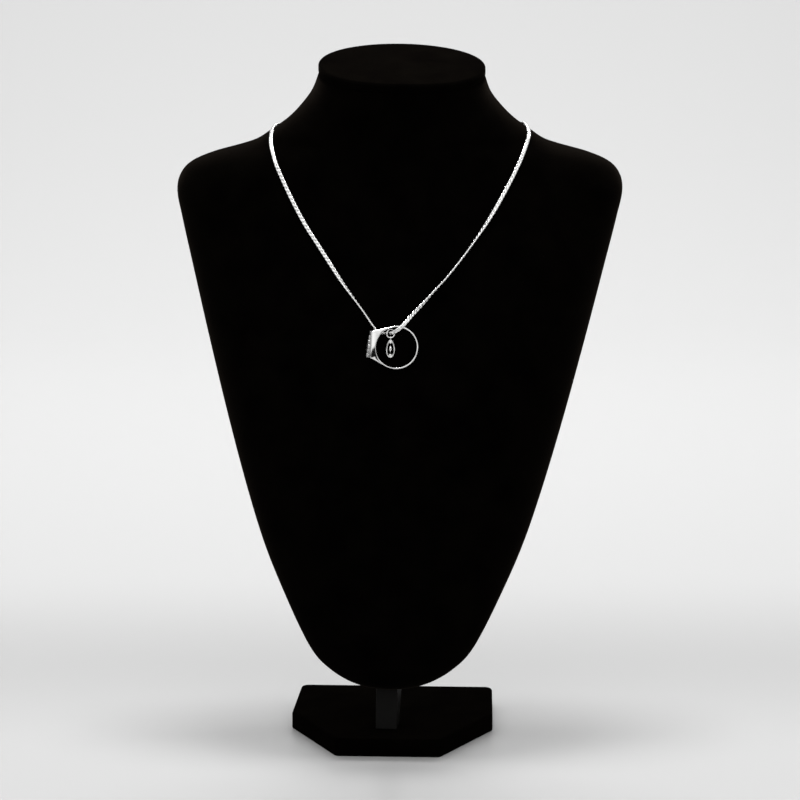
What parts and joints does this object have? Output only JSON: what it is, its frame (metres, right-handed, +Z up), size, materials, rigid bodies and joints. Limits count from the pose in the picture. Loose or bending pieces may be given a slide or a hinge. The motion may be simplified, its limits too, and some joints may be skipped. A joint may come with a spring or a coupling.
{
  "type": "pendant necklace on neck bust display stand",
  "caption": "Flat curb chain with a signet ring pendant and a pierced drop charm, draped on a velvet neck bust that stands on a post and a flat base.",
  "frame": {"origin": "middle of the base's underside", "axes": "+Z up, +X to the viewer's right, +Y to the back of the bust, so the pendant faces -Y"},
  "size_m": [0.2227, 0.1043, 0.3433],
  "materials": {
    "velvet": "black velvet",
    "post": "satin",
    "silver": "polished"
  },
  "bodies": {
    "root": {"bust": "velvet", "neck_cap": "velvet", "post": "post", "base": "velvet", "chain": "silver", "clasp": "silver", "ring_pendant": "silver", "jump_ring": "silver", "charm": "silver"}
  },
  "joints": []
}
